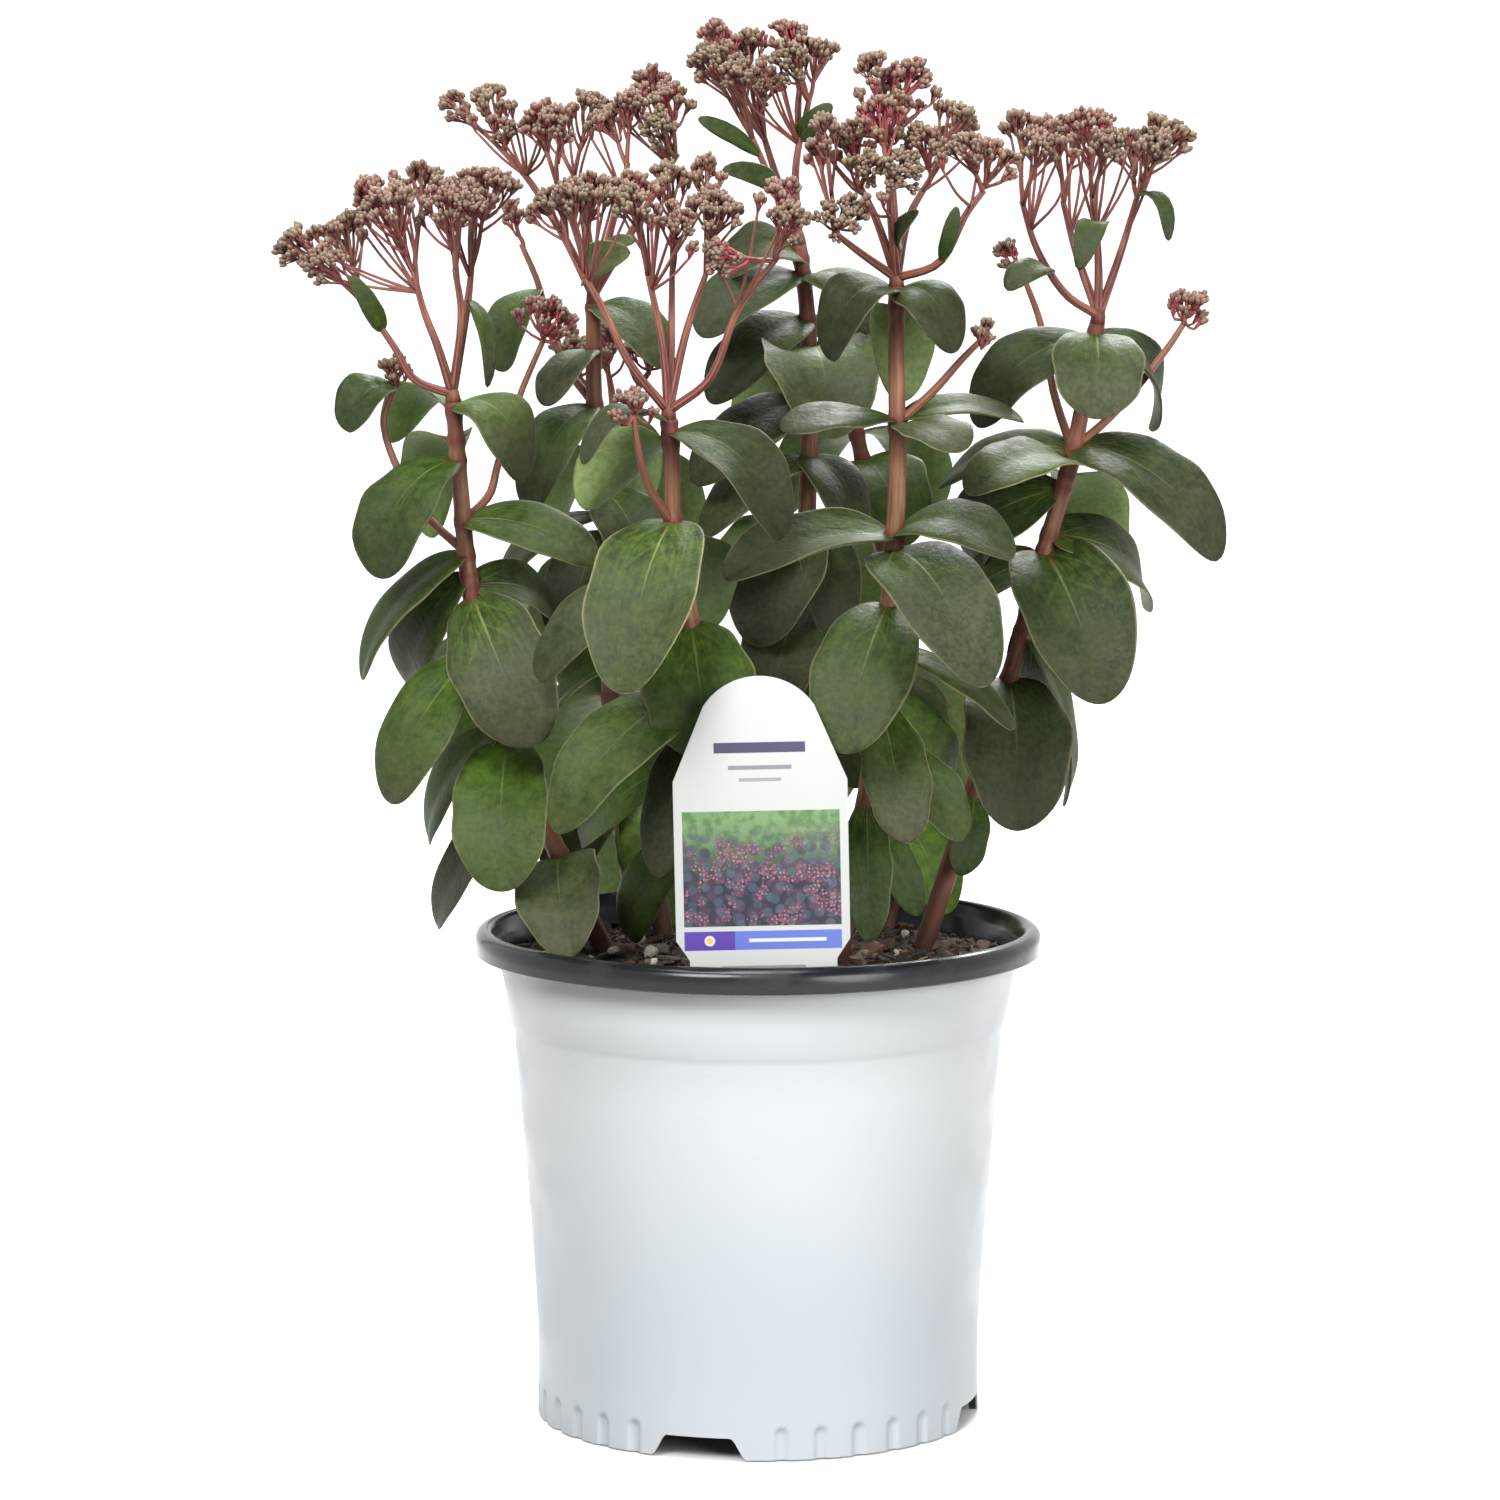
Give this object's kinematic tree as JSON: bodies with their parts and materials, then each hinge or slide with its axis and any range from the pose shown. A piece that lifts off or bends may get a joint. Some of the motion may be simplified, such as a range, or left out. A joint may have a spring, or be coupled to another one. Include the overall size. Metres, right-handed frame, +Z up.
{
  "type": "potted stonecrop",
  "caption": "Upright stonecrop with dark fleshy leaves and flat bud heads, in a pale nursery pot with soil and a plain plant tag.",
  "frame": {"origin": "centre of the pot's foot, on the floor", "axes": "+Z up, -Y towards the front, where the plant tag stands, and +X to the right seen from the front"},
  "size_m": [0.2772, 0.188, 0.4142],
  "materials": {
    "pot_plastic": "satin",
    "potting_mix": "matte",
    "tag_card": "satin",
    "leaf": "satin",
    "flower_bud": "matte"
  },
  "bodies": {
    "root": {"pot": "pot_plastic", "soil": "potting_mix", "tag": "tag_card", "left_leafy_stem": "leaf", "centre_left_leafy_stem": "leaf", "back_left_leafy_stem": "leaf", "back_centre_leafy_stem": "leaf", "centre_right_leafy_stem": "leaf", "right_leafy_stem": "leaf", "hind_left_leafy_stem": "leaf", "hind_right_leafy_stem": "leaf", "left_flower_head": "flower_bud", "centre_left_flower_head": "flower_bud", "back_left_flower_head": "flower_bud", "back_centre_flower_head": "flower_bud", "centre_right_flower_head": "flower_bud", "right_flower_head": "flower_bud", "hind_left_flower_head": "flower_bud", "hind_right_flower_head": "flower_bud"}
  },
  "joints": []
}
